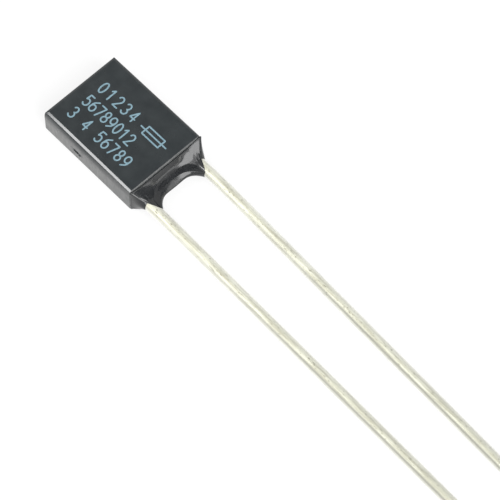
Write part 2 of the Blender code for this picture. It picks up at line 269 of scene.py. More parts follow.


# %% [markdown]
# ## Finish of the case
#
# The case is moulded in a black, glass-filled plastic. The mould leaves it satin: a very fine grain that
# softens the light, and a faint cloudiness where the melt has flowed. Grain that small is only bump and
# roughness. Handling rubs the upper edges smoother than the faces, so they shine. The side walls are painted a
# lighter grey than the top, in streaks and more so low down, as a painted reflection of the bright table. The
# mouth's rim gets part of that grey as a painted highlight, and the underside gets a little as wear. Two
# numbers that are stored on the mesh's points tell the finish where those places are: one for the rubbed
# edges, and one for the painted sheen and the wear.

# %% Finish of the case
moulding = Finish("case_black_moulding", (0.011, 0.015, 0.019), 0.32)
cloud = moulding.between(moulding.grain(0.0010, detail=4.0), 0.0, 1.0)
plain_black = moulding.blend(cloud, (0.002, 0.006, 0.008), (0.011, 0.016, 0.018))
# Painted reflection: the streaky lighter grey on the walls and the rim stands for the bright table and the
# lamps that they reflect. On the underside it is wear.
sheen_streaks = moulding.between(moulding.grain(0.00012, detail=3.0, stretch=(1.0, 1.0, 0.12)), 0.55, 1.0)
sheen_and_wear_marks = moulding.times(moulding.stored("scuffed"), sheen_streaks)
moulding.drive("Base Color", moulding.blend(sheen_and_wear_marks, plain_black, (0.15, 0.15, 0.148)))
satin = moulding.between(moulding.grain(0.0006, detail=4.0), 0.27, 0.37)
rubbed = moulding.stored("rubbed")
moulding.drive("Roughness", moulding.towards(rubbed, satin, 0.13))
grain_height = moulding.towards(rubbed, moulding.grain(0.00007), 0.5)
fine_grain = moulding.bump(grain_height, 0.0000014)
moulding.drive("Normal", moulding.bump(moulding.grain(0.0011), 0.000003, after=fine_grain))

# %% [markdown]
# ## The case
#
# The real case is one moulding: closed at the back, open at the front, a little narrower towards the closed
# end and towards the underside. Its side walls lean in softly near the top and end in a narrow sloping facet,
# which is the bright line along the upper edge. A Bevel modifier can't make such a section, so the case is
# built the way a potter coils a pot: one rounded rectangle for each height, joined to the next. The section
# is walked as a chain of arcs, each with its radius, the surface's tilt where it starts and ends, and its
# steps. A tilt is the angle of the surface's normal from straight up.


# %% The section of the case's edges
SOFT_SHOULDER = (0.0024, 91.2, 76.0, 12)
TIGHT_SHOULDER = (0.00013, 76.0, 32.0, 8)
FACET_LENGTH = 0.00020
FACET_TILT_DEG = 32.0
FACET_STEPS = 4
TOP_ROUNDING = (0.00005, 32.0, 0.0, 6)
LOW_ROUNDING_STEPS = 8
WALL_STEPS = 8


def half_width_at(x, inset=0.0):
    return CASE_WIDTH / 2 - (MOUTH_X - x) * DRAFT_SLOPE - inset


def lean_at(z):
    return WALL_LEAN * (1 - z / CASE_HEIGHT)


def walk_arc(points, radius, tilt_from, tilt_to, steps):
    """Goes on from the last (inset, height) along an arc, while the surface's tilt changes."""
    inset, height = points[-1]
    start, stop = math.radians(tilt_from), math.radians(tilt_to)
    for step in range(1, steps + 1):
        tilt = start + (stop - start) * step / steps
        points.append((
            inset + radius * (math.sin(start) - math.sin(tilt)),
            height + radius * (math.cos(tilt) - math.cos(start)),
        ))


def edge_section():
    """(inset, height) from the underside, up the wall and over the upper edge on to the top face."""
    shoulder = [(0.0, 0.0)]
    walk_arc(shoulder, *SOFT_SHOULDER)
    walk_arc(shoulder, *TIGHT_SHOULDER)
    inset, height = shoulder[-1]
    tilt = math.radians(FACET_TILT_DEG)
    for step in range(1, FACET_STEPS + 1):
        along = FACET_LENGTH * step / FACET_STEPS
        shoulder.append((inset + along * math.cos(tilt), height + along * math.sin(tilt)))
    walk_arc(shoulder, *TOP_ROUNDING)
    start_height = CASE_HEIGHT - shoulder[-1][1]
    section = []
    for angle in evenly(0.0, math.pi / 2, LOW_ROUNDING_STEPS):
        height = LOW_EDGE_RADIUS * (1 - math.cos(angle))
        section.append((lean_at(height) + LOW_EDGE_RADIUS * (1 - math.sin(angle)), height))
    section += [(lean_at(height), height) for height in evenly(LOW_EDGE_RADIUS, start_height, WALL_STEPS)]
    return section + [(lean_at(start_height) + inset, start_height + height) for inset, height in shoulder]


# %% The rings of the case
CORNER_POINTS = 9


def rim_inset(z):
    """How far the mouth's upper and lower edges are rounded back at a height."""
    depth = max(0.0, RIM_RADIUS - min(z, CASE_HEIGHT - z))
    return RIM_RADIUS - math.sqrt(max(0.0, RIM_RADIUS ** 2 - depth ** 2))


def case_ring(inset, z):
    """A rounded rectangle at a height, as points anticlockwise from above."""
    side_radius = max(SIDE_EDGE_RADIUS - inset, SIDE_EDGE_RADIUS / 3)
    back_x, front_x = END_X + inset, MOUTH_X - rim_inset(z)
    corners = [(back_x, -1, 1, side_radius), (front_x, -1, -1, RIM_RADIUS)]
    corners += [(front_x, 1, -1, RIM_RADIUS), (back_x, 1, 1, side_radius)]
    points = []
    for index, (x, side, inwards, radius) in enumerate(corners):
        centre = Vector((x + inwards * radius, side * (half_width_at(x, inset) - radius), z))
        for step in range(CORNER_POINTS):
            angle = math.pi + math.pi / 2 * (index + step / (CORNER_POINTS - 1))
            points.append(centre + Vector((math.cos(angle), math.sin(angle), 0.0)) * radius)
    return points


def drafted_box(back_x, front_x, inset):
    """The hollow: a box with the case's draft, its edges still sharp."""
    bm = bmesh.new()
    bmesh.ops.create_cube(bm, size=1.0)
    for vert in bm.verts:
        x = back_x if vert.co.x < 0 else front_x
        z = inset if vert.co.z < 0 else CASE_HEIGHT - inset
        y = half_width_at(x, inset) - lean_at(z)
        vert.co = (x, math.copysign(y, vert.co.y), z)
    return bm


# %% The case, with its gate mark
GATE_MARK_AT = (END_X + 0.0038, 0.0011)
GATE_MARK_LENGTH = 0.00062
GATE_MARK_HEIGHT = 0.00042
GATE_MARK_DEPTH = 0.00022
GATE_MARK_RAGGED = 0.18
GATE_MARK_WAVES = 1.7
GATE_MARK_REACH = 1.3
GATE_MARK_CORE = 0.4
NUB_RADIUS = 0.00011
NUB_STRETCH = Vector((1.3, 0.7, 1.0))
NUB_OFFSET = (0.62, 0.00016)

stack = bmesh.new()
rings = [[stack.verts.new(point) for point in case_ring(*level)] for level in edge_section()]
for below, above in zip(rings, rings[1:]):
    for i in range(len(below)):
        j = (i + 1) % len(below)
        stack.faces.new((below[i], below[j], above[j], above[i]))
stack.faces.new(list(reversed(rings[0])))
stack.faces.new(rings[-1])
for share in (-GATE_MARK_REACH, GATE_MARK_REACH):
    everything = stack.verts[:] + stack.edges[:] + stack.faces[:]
    beside_mark = (GATE_MARK_AT[0] + share * GATE_MARK_LENGTH, 0.0, 0.0)
    bmesh.ops.bisect_plane(stack, geom=everything, plane_co=beside_mark, plane_no=(1.0, 0.0, 0.0))
case_shell = object_from("case_shell", stack, moulding.material)

hollow = drafted_box(END_X + CASE_END_WALL, MOUTH_X + CASE_WALL, CASE_WALL)
layer = hollow.edges.layers.float.new("bevel_weight_edge")
for edge in hollow.edges:
    edge[layer] = 0.0 if (edge.verts[0].co.x + edge.verts[1].co.x) / 2 > MOUTH_X else 1.0
hollow_tool = object_from("hollow_tool", hollow)
rounding = hollow_tool.modifiers.new("rounding", "BEVEL")
rounding.width = CAVITY_RADIUS
rounding.segments = 6
rounding.limit_method = "WEIGHT"

dimple = bmesh.new()
bmesh.ops.create_uvsphere(dimple, u_segments=40, v_segments=20, radius=1.0)
wall_y = half_width_at(GATE_MARK_AT[0]) - lean_at(GATE_MARK_AT[1])
for vert in dimple.verts:
    x, y, z = vert.co
    ragged = 1 + GATE_MARK_RAGGED * noise.noise(vert.co * GATE_MARK_WAVES)
    vert.co = (
        GATE_MARK_AT[0] + x * GATE_MARK_LENGTH / 2 * ragged,
        -wall_y + y * GATE_MARK_DEPTH,
        GATE_MARK_AT[1] + z * GATE_MARK_HEIGHT / 2 * ragged,
    )
dimple_tool = object_from("dimple_tool", dimple)

nub = bmesh.new()
nub_x, nub_z = GATE_MARK_AT[0] + GATE_MARK_LENGTH * NUB_OFFSET[0], GATE_MARK_AT[1] - NUB_OFFSET[1]
bmesh.ops.create_uvsphere(nub, u_segments=24, v_segments=12, radius=NUB_RADIUS)
for vert in nub.verts:
    vert.co = Vector((nub_x, -wall_y, nub_z)) + vert.co * NUB_STRETCH
nub_tool = object_from("nub_tool", nub)

for tool, operation in ((hollow_tool, "DIFFERENCE"), (dimple_tool, "DIFFERENCE"), (nub_tool, "UNION")):
    cut = case_shell.modifiers.new("cut", "BOOLEAN")
    cut.operation = operation
    cut.solver = "EXACT"
    cut.object = tool
case_shell = freeze(case_shell)
for tool in (hollow_tool, dimple_tool, nub_tool):
    bpy.data.objects.remove(tool, do_unlink=True)

# %% [markdown]
# Each point of the case now gets its two numbers. "rubbed" is 1 on the sloping facet and 0 on the faces. Cuts
# through the wall on both sides of the gate mark keep its own number from spreading along the wall. The second
# number, for painted sheen and wear, is 1 on the lower walls and fades out towards the top, as a painted
# reflection of the bright table. It is 0 on the top and in the gate mark, so the hollow stays dark as painted
# shade. It is 0.6 on the rim as a painted highlight, and small on the underside as wear. Weighted normals then
# keep the big flat faces flat right up to the rounding.

# %% Rubbed edges and even shading
RUBBED_TILT_SPREAD = math.radians(24.0)
# Painted reflection: between these heights the walls' painted grey fades out going up.
WALL_SHEEN_FROM, WALL_SHEEN_TO = 0.00245, 0.00135
WALL_TILT, UNDERSIDE_TILT = math.radians(70.0), math.radians(150.0)
UNDERSIDE_SHARE = 0.06
RIM_SHEEN_FROM = math.radians(8.0)
RIM_SHEEN_SHARE = 0.6
CASE_SHARP_FROM = math.radians(40.0)


def in_gate_mark(place):
    off_x = (place.x - GATE_MARK_AT[0]) / GATE_MARK_LENGTH
    off_z = (place.z - GATE_MARK_AT[1]) / GATE_MARK_HEIGHT
    return place.y < 0 and off_x ** 2 + off_z ** 2 < GATE_MARK_CORE


# Painted light: this share paints the walls' reflection of the table, the rim's highlight and the gate mark's
# shade. Only the underside's share is wear.
def sheen_and_wear_share(place, tilt):
    if in_gate_mark(place):
        return 0.0
    if place.x > MOUTH_X - RIM_RADIUS and tilt > RIM_SHEEN_FROM:
        return RIM_SHEEN_SHARE
    if tilt < WALL_TILT:
        return 0.0
    if tilt > UNDERSIDE_TILT:
        return UNDERSIDE_SHARE
    return min(1.0, max(0.0, (place.z - WALL_SHEEN_FROM) / (WALL_SHEEN_TO - WALL_SHEEN_FROM)))


points = case_shell.data.vertices
tilts = [math.acos(max(-1.0, min(1.0, point.normal.z))) for point in points]
off_facet = [abs(tilt - math.radians(FACET_TILT_DEG)) for tilt in tilts]
store(case_shell.data, "rubbed", [max(0.0, 1.0 - off / RUBBED_TILT_SPREAD) for off in off_facet])
store(case_shell.data, "scuffed", [sheen_and_wear_share(point.co, tilt) for point, tilt in zip(points, tilts)])
case_shell.data.shade_smooth()
case_shell.data.set_sharp_from_angle(angle=CASE_SHARP_FROM)
even = case_shell.modifiers.new("even", "WEIGHTED_NORMAL")
even.keep_sharp = True
even.weight = 100
case_shell = freeze(case_shell)
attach(case_shell, "root")
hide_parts("case")
report(case_shell)

# %% [markdown]
# ## Finish of the sealing resin
#
# The open end is sealed with a black casting resin that sets with a wet gloss. It is deep black in itself, so
# nearly all that is seen of it is what it reflects. A very slow swell in the surface bends those reflections
# a little, as shrinkage does in real resin.

# %% Finish of the sealing resin
resin = Finish("resin_black_gloss", (0.006, 0.007, 0.008), 0.15, ior=1.53)
resin.drive("Base Color", resin.blend(resin.grain(0.0007), (0.005, 0.006, 0.007), (0.010, 0.011, 0.012)))
resin.drive("Roughness", resin.between(resin.grain(0.0005, detail=3.0), 0.12, 0.20))
swell = resin.bump(resin.grain(0.0012, detail=0.0), 0.000005)
resin.drive("Normal", resin.bump(resin.grain(0.00016, detail=1.0), 0.0000007, after=swell))

# %% [markdown]
# ## The sealing resin
#
# This is the hardest shape on the part. Liquid resin was poured round the wires and wetted all that it
# touched. It stands a little over the rim of the case and sags between the wires. From there it falls in a
# hollow curve, and along each wire it creeps out as a pointed horn. Between the wires it ends in a thin web,
# whose rounded edge leans forward.
#
# Such a skin has a rule: each point of the lip runs to its own point on the curve where the resin ends. So
# the seal is lofted. A ring of points is placed on the lip, a second ring on the end curve, and the rings
# between them follow a bent line from one to the other. The line bends sharply between the wires and is
# nearly straight on the flanks. Rings with the same number of points are then bridged with faces.

# %% Sizes of the seal
PLUG_DEPTH = 0.0030
LIP_HEIGHT = 0.00010
LIP_ROLL = 0.00006
LIP_SAG = 0.00024
LIP_INSET = 0.00003
LIP_CORNER_RADIUS = 0.00014
FILM = 0.00002
HORN_RADIUS = WIRE_RADIUS + FILM
HORN_OUTER_REACH = 0.00130
HORN_RIDGE_REACH = 0.00120
HORN_INNER_REACH = 0.00235
HORN_SWEEP_POWER = 1.5
WEB_REACH = 0.00138
WEB_THICKNESS = 0.00062
WEB_NOSE = 0.00042
NOSE_LEAN = 0.9
WEB_CURVE_POWER = 4
WEB_END_ANGLE = math.asin(WEB_THICKNESS / 2 / HORN_RADIUS)
WEB_END_Y = WIRE_HALF_PITCH - HORN_RADIUS * math.cos(WEB_END_ANGLE)
RIDGE_ANGLE = math.radians(112.0)
RIDGE_WIDTH = math.radians(6.0)
BEND_WEIGHT = 2.2
MIDDLE_PULL = (0.16, 0.72)
WEB_END_PULL = (0.43, 0.95)
CREST_PULL = (0.53, 1.0)
RIDGE_PULL = (0.50, 0.50)
FLANK_PULL = (0.52, 0.48)

WEB_STEPS = 40
CREST_STEPS = 40
CORNER_STEPS = 12
HALF_FLANK_STEPS = 8
NOSE_STEPS = 16
LIP_STEPS = 10
SKIN_STEPS = 44


# %% The lip's ring
def quarter_section(half_width, half_height, radius):
    """From the top centre of a rounded box section to mid flank: places across and above its middle."""
    corner_y = half_width - radius
    across = evenly(0.0, WEB_END_Y, WEB_STEPS) + evenly(WEB_END_Y, corner_y, CREST_STEPS)
    points = [(y, half_height) for y in across]
    for angle in evenly(0.0, math.pi / 2, CORNER_STEPS):
        points.append((corner_y + radius * math.sin(angle), half_height - radius * (1 - math.cos(angle))))
    flank = evenly(half_height - radius, 0.0, HALF_FLANK_STEPS) + [0.0]
    return points + [(half_width, rise) for rise in flank]


def whole_ring(half, centre_y):
    return half + [Vector((p.x, 2 * centre_y - p.y, p.z)) for p in reversed(half[1:-1])]


def box_ring(x, inset, top_radius, low_radius):
    half_width = half_width_at(min(x, MOUTH_X), inset)
    half_height = CASE_HEIGHT / 2 - inset
    upper = quarter_section(half_width, half_height, top_radius)
    lower = quarter_section(half_width, half_height, low_radius)
    places = upper + [(y, -rise) for y, rise in reversed(lower[:-1])]
    half = []
    for y, rise in places:
        z = CASE_HEIGHT / 2 + rise
        half.append(Vector((x, y - lean_at(z) * y / half_width, z)))
    return whole_ring(half, 0.0)


def eased(low, high, steps):
    """Numbers that go softly from low towards high, without reaching it."""
    return [low + (high - low) * (0.5 - 0.5 * math.cos(math.pi * step / steps)) for step in range(steps)]


def round_the_ring(upper):
    """Spreads one number for each point of a quarter of the ring over all four quarters."""
    half = upper + upper[-2::-1]
    return half + half[-2:0:-1]


def lip_ring(angle):
    """One ring of the lip's roll, which turns from the mouth on to the skin and sags between the wires."""
    x = MOUTH_X + CLEARANCE + LIP_HEIGHT * math.sin(angle)
    ring = box_ring(x, LIP_INSET + LIP_ROLL * (1 - math.cos(angle)), LIP_CORNER_RADIUS, LOW_EDGE_RADIUS)
    sags = [LIP_SAG] * WEB_STEPS + eased(LIP_SAG, 0.0, CREST_STEPS)
    sags += [0.0] * (len(ring) // 2 + 1 - len(sags))
    sags += sags[-2:0:-1]
    return [point - Vector((0.0, 0.0, sag)) for point, sag in zip(ring, sags)]


# %% The ring where the resin ends
def horn_end_x(angle):
    """How far the resin reaches along a wire: furthest where it faces the web, least at the ridge."""
    if angle <= RIDGE_ANGLE:
        share = ((1 - math.cos(angle)) / (1 - math.cos(RIDGE_ANGLE))) ** HORN_SWEEP_POWER
        return MOUTH_X + HORN_INNER_REACH + (HORN_RIDGE_REACH - HORN_INNER_REACH) * share
    share = (angle - RIDGE_ANGLE) / (math.pi - RIDGE_ANGLE)
    return MOUTH_X + HORN_RIDGE_REACH + (HORN_OUTER_REACH - HORN_RIDGE_REACH) * share


def web_edge_x(y):
    middle = MOUTH_X + WEB_REACH - WEB_NOSE
    return middle + (horn_end_x(WEB_END_ANGLE) - middle) * (y / WEB_END_Y) ** WEB_CURVE_POWER


def end_ring():
    places = [(web_edge_x(y), y, WEB_THICKNESS / 2) for y in evenly(0.0, WEB_END_Y, WEB_STEPS)]
    flank = RIDGE_ANGLE + RIDGE_WIDTH
    angles = evenly(WEB_END_ANGLE, RIDGE_ANGLE, CREST_STEPS) + evenly(RIDGE_ANGLE, flank, CORNER_STEPS)
    for angle in angles + evenly(flank, math.pi, HALF_FLANK_STEPS) + [math.pi]:
        y = WIRE_HALF_PITCH - HORN_RADIUS * math.cos(angle)
        places.append((horn_end_x(angle), y, HORN_RADIUS * math.sin(angle)))
    places += [(x, y, -rise) for x, y, rise in reversed(places[:-1])]
    half = [Vector((x, WIRES_OFF_CENTRE + y, WIRE_EXIT_HEIGHT + rise)) for x, y, rise in places]
    return whole_ring(half, WIRES_OFF_CENTRE)


# %% The skin between the two rings
def mixed(first, second, share):
    return [a + (b - a) * share for a, b in zip(first, second)]


def skin_pulls():
    """How far out and how far down the bend of the skin's line lies, for each point of the ring."""
    half_crest = CREST_STEPS // 2
    upper = [mixed(MIDDLE_PULL, WEB_END_PULL, share) for share in eased(0.0, 1.0, WEB_STEPS)]
    upper += [mixed(WEB_END_PULL, CREST_PULL, share) for share in eased(0.0, 1.0, half_crest)]
    upper += [mixed(CREST_PULL, RIDGE_PULL, share) for share in evenly(0.0, 1.0, half_crest)]
    upper += [mixed(RIDGE_PULL, FLANK_PULL, share) for share in evenly(0.0, 1.0, CORNER_STEPS)]
    return round_the_ring(upper + [FLANK_PULL] * (HALF_FLANK_STEPS + 1))


def meniscus(start, end, share, pull_shares):
    """A point on the bent line from the lip to the end curve."""
    rise, fall = pull_shares
    pull = start + (end - start) * Vector((rise, fall, fall))
    rest = 1 - share
    weights = (rest * rest, 2 * BEND_WEIGHT * rest * share, share * share)
    return (start * weights[0] + pull * weights[1] + end * weights[2]) / sum(weights)


# %% The front of the seal: the web's rounded nose
def nose_point(top, low, step, web_share, side):
    """A point on the nose, which leans forward under the web and follows the wire's round at its ends."""
    angle = math.pi * step / NOSE_STEPS
    swelling = math.sin(math.pi * (step / NOSE_STEPS) ** (1 + NOSE_LEAN * (1 - web_share)))
    bulge = WEB_NOSE + (HORN_RADIUS * (1 - math.cos(WEB_END_ANGLE)) - WEB_NOSE) * web_share ** 3
    turn = math.pi / 2 * web_share ** 2
    middle = (top + low) / 2
    z = middle.z + (top.z - middle.z) * math.cos(angle)
    y = middle.y - side * bulge * swelling * math.sin(turn)
    return Vector((middle.x + bulge * swelling * math.cos(turn), y, z))


def bridge(bm, first, second):
    for i in range(len(first) - 1):
        bm.faces.new((first[i], second[i], second[i + 1], first[i + 1]))


def front_rung(bm, ring, index, side):
    last = len(ring) // 2
    top, low = ring[side * index], ring[last - side * index]
    inner = []
    for step in range(1, NOSE_STEPS):
        if index <= WEB_STEPS:
            place = nose_point(top.co, low.co, step, index / WEB_STEPS, side)
        else:
            place = top.co.lerp(low.co, step / NOSE_STEPS)
        inner.append(bm.verts.new(place))
    return [top, *inner, low]


def close_front(bm, ring):
    half = len(ring) // 4
    rungs = [front_rung(bm, ring, index, -1) for index in range(half - 1, 0, -1)]
    rungs += [front_rung(bm, ring, index, 1) for index in range(half)]
    for left, right in zip(rungs, rungs[1:]):
        bridge(bm, right, left)
    for above, below in zip(rungs[0], rungs[0][1:]):
        bm.faces.new((below, above, ring[-half]))
    for above, below in zip(rungs[-1], rungs[-1][1:]):
        bm.faces.new((above, below, ring[half]))


# %% The seal itself
SEAL_SHARP_FROM = math.radians(50.0)
plug_inset = CASE_WALL + CLEARANCE
plug_radius = CAVITY_RADIUS - CLEARANCE
plug_ends = (MOUTH_X - PLUG_DEPTH, MOUTH_X + CLEARANCE)
sections = [box_ring(x, plug_inset, plug_radius, plug_radius) for x in plug_ends]
sections += [lip_ring(math.pi / 2 * step / LIP_STEPS) for step in range(LIP_STEPS + 1)]
lip, end, pulls = sections[-1], end_ring(), skin_pulls()
for share in evenly(0.0, 1.0, SKIN_STEPS)[1:] + [1.0]:
    sections.append([meniscus(a, b, share, pull) for a, b, pull in zip(lip, end, pulls)])

seal = bmesh.new()
rings = [[seal.verts.new(point) for point in section] for section in sections]
for first, second in zip(rings, rings[1:]):
    bridge(seal, first + first[:1], second + second[:1])
seal.faces.new(rings[0])
close_front(seal, rings[-1])
resin_seal = object_from("resin_seal", seal, resin.material)
resin_seal.data.shade_smooth()
resin_seal.data.set_sharp_from_angle(angle=SEAL_SHARP_FROM)
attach(resin_seal, "root")
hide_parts("sealing_resin")
report(resin_seal)

# %% [markdown]
# ## Finish of the wires
#
# The wires are copper, drawn through a die and then dipped in tin. Drawing leaves fine lines along the wire,
# and the tin over them is bright, slightly warm and not quite even, with small dark pits. Noise that is
# stretched some eighty times along the wire gives the lines, and short noise gives the pits. One flank is
# painted darker along its middle, as a painted dark reflection. The edges that turn away from the eye are
# painted paler, as a painted reflection of the white surroundings. Away from the case the tin is darker all
# round, towards the tips. Where the wire was cut to length, its end shows copper with a rim of tin.

# %% Finishes of the wires
tin = Finish("tin_on_copper", (0.76, 0.76, 0.66), 0.48, metallic=1.0)
drawn = tin.grain(0.00007, detail=3.0, stretch=(0.012, 1.0, 1.0))
patches = tin.grain(0.0008, detail=4.0, stretch=(0.45, 1.0, 1.0))
look = tin.blend(tin.between(patches, 0.0, 1.0), (0.63, 0.63, 0.51), (0.74, 0.74, 0.64))
streaks = tin.between(tin.grain(0.00014, detail=3.0, stretch=(0.05, 1.0, 1.0)), 0.0, 1.0, 0.42, 0.62)
look = tin.blend(streaks, look, (0.50, 0.49, 0.39))
pits = tin.between(tin.grain(0.00016, stretch=(0.5, 1.0, 1.0)), 0.0, 1.0, 0.61, 0.70)
look = tin.blend(pits, look, (0.32, 0.31, 0.24))
# Darker all round from 12 mm to 42 mm along X, towards the tips.
darker_towards_tips = tin.between(tin.along(), 0.0, 0.5, 0.012, 0.042)
look = tin.blend(darker_towards_tips, look, (0.42, 0.42, 0.35))
# Painted shade: one flank, picked by its normal, is painted darker to stand for the dark surroundings that it
# reflects.
thin_flank = tin.times(tin.stored("thin_flank"), tin.between(tin.along(), 0.0, 1.0, 0.010, 0.024))
look = tin.blend(thin_flank, look, (0.28, 0.28, 0.23))
# Painted reflection: where the wire turns away from the eye, its colour is painted paler to stand for the
# white surroundings that it reflects.
painted_edge_sheen = tin.between(tin.grazing(), 0.0, 1.0, 0.05, 0.80)
tin.drive("Base Color", tin.blend(painted_edge_sheen, look, (0.95, 0.95, 0.92)))
tin.drive("Roughness", tin.between(drawn, 0.52, 0.64))
drawn_lines = tin.bump(drawn, 0.0000010)
tin.drive("Normal", tin.bump(patches, 0.000003, after=drawn_lines))

copper = Finish("cut_copper", (0.82, 0.45, 0.32), 0.30, metallic=1.0)
shear_lines = copper.grain(0.00003, stretch=(1.0, 0.08, 1.0))
copper.drive("Base Color", copper.blend(shear_lines, (0.62, 0.30, 0.20), (0.88, 0.52, 0.38)))
copper.drive("Normal", copper.bump(shear_lines, 0.000004))

# %% [markdown]
# ## The wires
#
# A wire is a circle that follows a path, which is what the Curve to Mesh node does. The tree's inputs are the
# wire's radius, the spacing of its rings, how far it wavers and its finish. The path wavers by a few
# thousandths of a millimetre, because no wire is dead straight. Both wires use the tree.

# %% The tree that draws a wire
WIRE_SIDES = 56
WAVES_PER_METRE = 140.0


def new_tree(name, inputs):
    """A geometry tree with the named inputs, and the outputs that they give to its nodes."""
    tree = bpy.data.node_groups.new(name, "GeometryNodeTree")
    tree.interface.new_socket("Geometry", in_out="OUTPUT", socket_type="NodeSocketGeometry")
    for label, kind in {"Geometry": "Geometry", **inputs}.items():
        tree.interface.new_socket(label, in_out="INPUT", socket_type=f"NodeSocket{kind}")
    return tree, tree.nodes.new("NodeGroupInput").outputs


def end_tree(tree, given, geometry):
    """Makes the geometry real, gives it the tree's finish and sends it out."""
    solid = add_node(tree, "GeometryNodeRealizeInstances", "Geometry", {"Geometry": geometry})
    inputs = {"Geometry": solid, "Material": given["Finish"]}
    painted = add_node(tree, "GeometryNodeSetMaterial", "Geometry", inputs)
    tree.links.new(painted, tree.nodes.new("NodeGroupOutput").inputs["Geometry"])
    print("tree:", tree.name)


def run_tree(obj, tree, values):
    """Adds the tree to an object, sets its inputs by identifier and freezes the result."""
    modifier = obj.modifiers.new(tree.name, "NODES")
    modifier.node_group = tree
    for item in tree.interface.items_tree:
        if item.in_out == "INPUT" and item.name in values:
            modifier[item.identifier] = values[item.name]
    return freeze(obj)


wire_tree, given = new_tree("wire_along_path", {
    "Radius": "Float", "Ring Spacing": "Float", "Waver": "Float", "Finish": "Material",
})
inputs = {"Curve": given["Geometry"], "Length": given["Ring Spacing"]}
spaced = add_node(wire_tree, "GeometryNodeResampleCurve", "Curve", inputs, mode="LENGTH")
waver = add_node(wire_tree, "ShaderNodeTexNoise", "Color", {"Scale": WAVES_PER_METRE, "Detail": 1.0})
inputs = {0: waver, 1: (0.5, 0.5, 0.5)}
waver = add_node(wire_tree, "ShaderNodeVectorMath", "Vector", inputs, operation="SUBTRACT")
inputs = {0: waver, "Scale": given["Waver"]}
waver = add_node(wire_tree, "ShaderNodeVectorMath", "Vector", inputs, operation="SCALE")
wavy = add_node(wire_tree, "GeometryNodeSetPosition", "Geometry", {"Geometry": spaced, "Offset": waver})
inputs = {"Resolution": WIRE_SIDES, "Radius": given["Radius"]}
circle = add_node(wire_tree, "GeometryNodeCurvePrimitiveCircle", "Curve", inputs)
tube = add_node(wire_tree, "GeometryNodeCurveToMesh", "Mesh", {"Curve": wavy, "Profile Curve": circle})
end_tree(wire_tree, given, tube)

# %% [markdown]
# The path of a wire is straight inside the resin, bends softly downwards where it leaves it, and then runs
# straight until the tip rests on the table. The end was cut with pliers, so it gets a small rounded edge, a
# rim of smeared tin and a copper face that is not quite flat.

# %% The wires' paths
BEND_STEPS = 24
RING_SPACING = 0.00020
WAVER = 0.000012
WIRE_START_X = END_X + LINK_SETBACK + LINK_BEAD_RADIUS - LINK_TIP_BITE
WIRE_EXIT_X = MOUTH_X + 0.0023
WIRE_TIP_X = MOUTH_X + WIRE_REACH


def wire_path(side, drift):
    y = WIRES_OFF_CENTRE + side * WIRE_HALF_PITCH
    exit_point = Vector((WIRE_EXIT_X, y, WIRE_EXIT_HEIGHT))
    run = WIRE_TIP_X - WIRE_EXIT_X - WIRE_BEND_LENGTH / 2
    slope = Vector((0.0, drift / run, (WIRE_RADIUS - WIRE_EXIT_HEIGHT) / run))
    points = [Vector((WIRE_START_X, y, WIRE_EXIT_HEIGHT))]
    for step in range(BEND_STEPS + 1):
        along = WIRE_BEND_LENGTH * step / BEND_STEPS
        turned = along * along / (2 * WIRE_BEND_LENGTH)
        points.append(exit_point + Vector((along, 0.0, 0.0)) + slope * turned)
    points.append(exit_point + Vector((WIRE_TIP_X - WIRE_EXIT_X, 0.0, 0.0)) + slope * run)
    return points


def curve_from(name, strokes):
    """A curve object with one straight-segmented spline for each list of points."""
    curve = bpy.data.curves.new(name, "CURVE")
    curve.dimensions = "3D"
    for points in strokes:
        spline = curve.splines.new("POLY")
        spline.points.add(len(points) - 1)
        for spot, point in zip(spline.points, points):
            spot.co = (*point, 1.0)
    return new_object(name, curve)


# %% The wires and their cut ends
CUT_RINGS = [(0.000018, 0.985), (0.000032, 0.955), (0.000040, 0.90), (0.000036, 0.80)]
CUT_DOME = [(0.000030, 0.62), (0.000024, 0.40), (0.000020, 0.20)]
COPPER = 1
# Where the painted dark band lies round the wire, turned from straight up towards -Y, and how far it spreads.
DARK_FLANK_TURN_DEG = 48.0
DARK_FLANK_SPREAD_DEG = 23.0


def close_end(bm, loop, direction):
    """Closes an open end of the tube with shrinking rings along direction, the inner ones in copper."""
    centre = sum((vert.co for vert in loop), Vector()) / len(loop)
    before = loop
    for index, (ahead, share) in enumerate(CUT_RINGS + CUT_DOME):
        after = [bm.verts.new(centre + (vert.co - centre) * share + direction * ahead) for vert in loop]
        for corners in zip(before, before[1:] + before[:1], after[1:] + after[:1], after):
            bm.faces.new(corners).material_index = COPPER if index >= len(CUT_RINGS) else 0
        before = after
    middle = bm.verts.new(centre + direction * CUT_DOME[-1][0])
    for first, second in zip(before, before[1:] + before[:1]):
        bm.faces.new((first, second, middle)).material_index = COPPER


def dark_flank_share(normal):
    """1 along the middle of the flank that is painted dark as a painted reflection, and less on both sides of
    it.
    """
    turned = math.degrees(math.atan2(-normal.y, normal.z))
    share = max(0.0, 1.0 - abs(turned - DARK_FLANK_TURN_DEG) / DARK_FLANK_SPREAD_DEG)
    return share * share * (3.0 - 2.0 * share)


